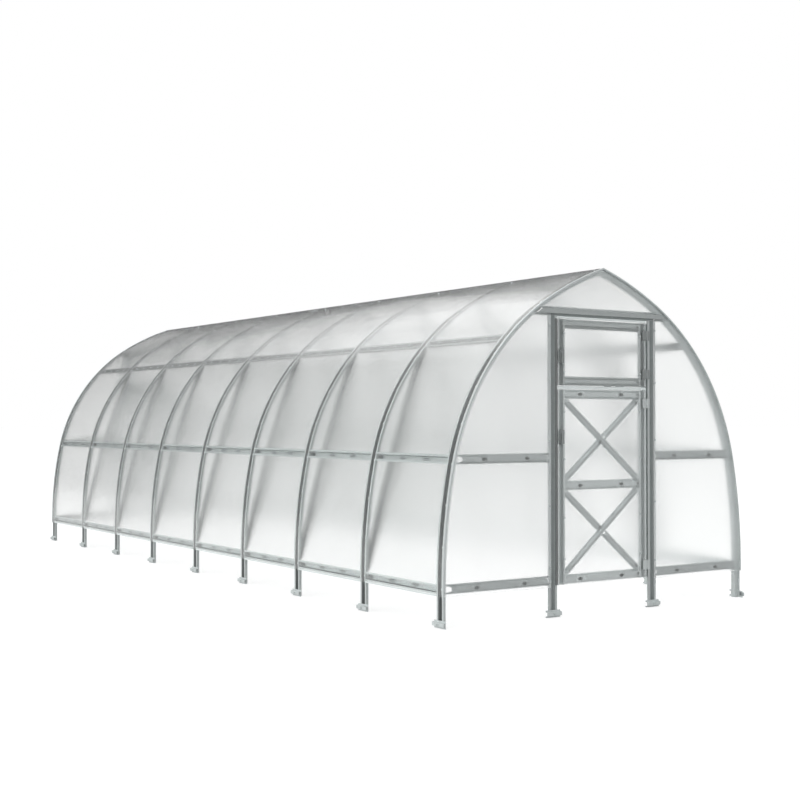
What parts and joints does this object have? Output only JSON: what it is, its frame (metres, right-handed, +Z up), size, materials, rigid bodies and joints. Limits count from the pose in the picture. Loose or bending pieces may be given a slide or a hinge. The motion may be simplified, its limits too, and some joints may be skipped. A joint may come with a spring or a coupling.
{
  "type": "gothic arch greenhouse",
  "caption": "Long gothic arch greenhouse of bent hat-profile hoops under clear twin-wall sheets, with a hinged door and a vent in each gable.",
  "frame": {"origin": "ground level under the middle of the building", "axes": "+X across to the right of the front gable, +Y from the front gable to the rear along the ridge, +Z up"},
  "size_m": [2.994, 8.14, 2.582],
  "materials": {
    "galvanised_profile": "galvanised, matt",
    "twin_wall_sheet": "clear twin-wall polycarbonate",
    "hardware": "zinc plated"
  },
  "bodies": {
    "frame": {"front_door_hinge_posts": "hardware", "front_door_stops": "galvanised_profile", "front_gable_rails": "galvanised_profile", "front_header": "galvanised_profile", "front_posts": "galvanised_profile", "front_side_panes": "twin_wall_sheet", "front_top_pane": "twin_wall_sheet", "front_vent_frame": "galvanised_profile", "front_vent_hardware": "hardware", "front_vent_pane": "twin_wall_sheet", "hoop_1": "galvanised_profile", "hoop_2": "galvanised_profile", "hoop_3": "galvanised_profile", "hoop_4": "galvanised_profile", "hoop_5": "galvanised_profile", "hoop_6": "galvanised_profile", "hoop_7": "galvanised_profile", "hoop_8": "galvanised_profile", "hoop_9": "galvanised_profile", "left_base_rails": "galvanised_profile", "left_chord_braces": "galvanised_profile", "left_hoop_feet": "galvanised_profile", "left_mid_rails": "galvanised_profile", "left_upper_rails": "galvanised_profile", "post_feet": "galvanised_profile", "rear_door_hinge_posts": "hardware", "rear_door_stops": "galvanised_profile", "rear_gable_rails": "galvanised_profile", "rear_header": "galvanised_profile", "rear_posts": "galvanised_profile", "rear_side_panes": "twin_wall_sheet", "rear_top_pane": "twin_wall_sheet", "rear_vent_frame": "galvanised_profile", "rear_vent_hardware": "hardware", "rear_vent_pane": "twin_wall_sheet", "ridge_plates": "galvanised_profile", "ridge_rails": "galvanised_profile", "right_base_rails": "galvanised_profile", "right_chord_braces": "galvanised_profile", "right_hoop_feet": "galvanised_profile", "right_mid_rails": "galvanised_profile", "right_upper_rails": "galvanised_profile", "roof_sheet_1": "twin_wall_sheet", "roof_sheet_2": "twin_wall_sheet", "roof_sheet_3": "twin_wall_sheet", "roof_sheet_4": "twin_wall_sheet"},
    "front_door": {"front_door_braces": "galvanised_profile", "front_door_frame": "galvanised_profile", "front_door_hinge_leaves": "hardware", "front_door_latch": "hardware", "front_door_pane": "twin_wall_sheet"},
    "rear_door": {"rear_door_braces": "galvanised_profile", "rear_door_frame": "galvanised_profile", "rear_door_hinge_leaves": "hardware", "rear_door_latch": "hardware", "rear_door_pane": "twin_wall_sheet"}
  },
  "joints": [
    {"name": "front_door_swing", "type": "hinge", "parent": "frame", "child": "front_door", "pos_m": [0.445, -4.0481, 0.9], "axis": [0, 0, 1], "range_deg": [0, 115]},
    {"name": "rear_door_swing", "type": "hinge", "parent": "frame", "child": "rear_door", "pos_m": [-0.445, 4.0481, 0.9], "axis": [0, 0, 1], "range_deg": [0, 115]}
  ]
}
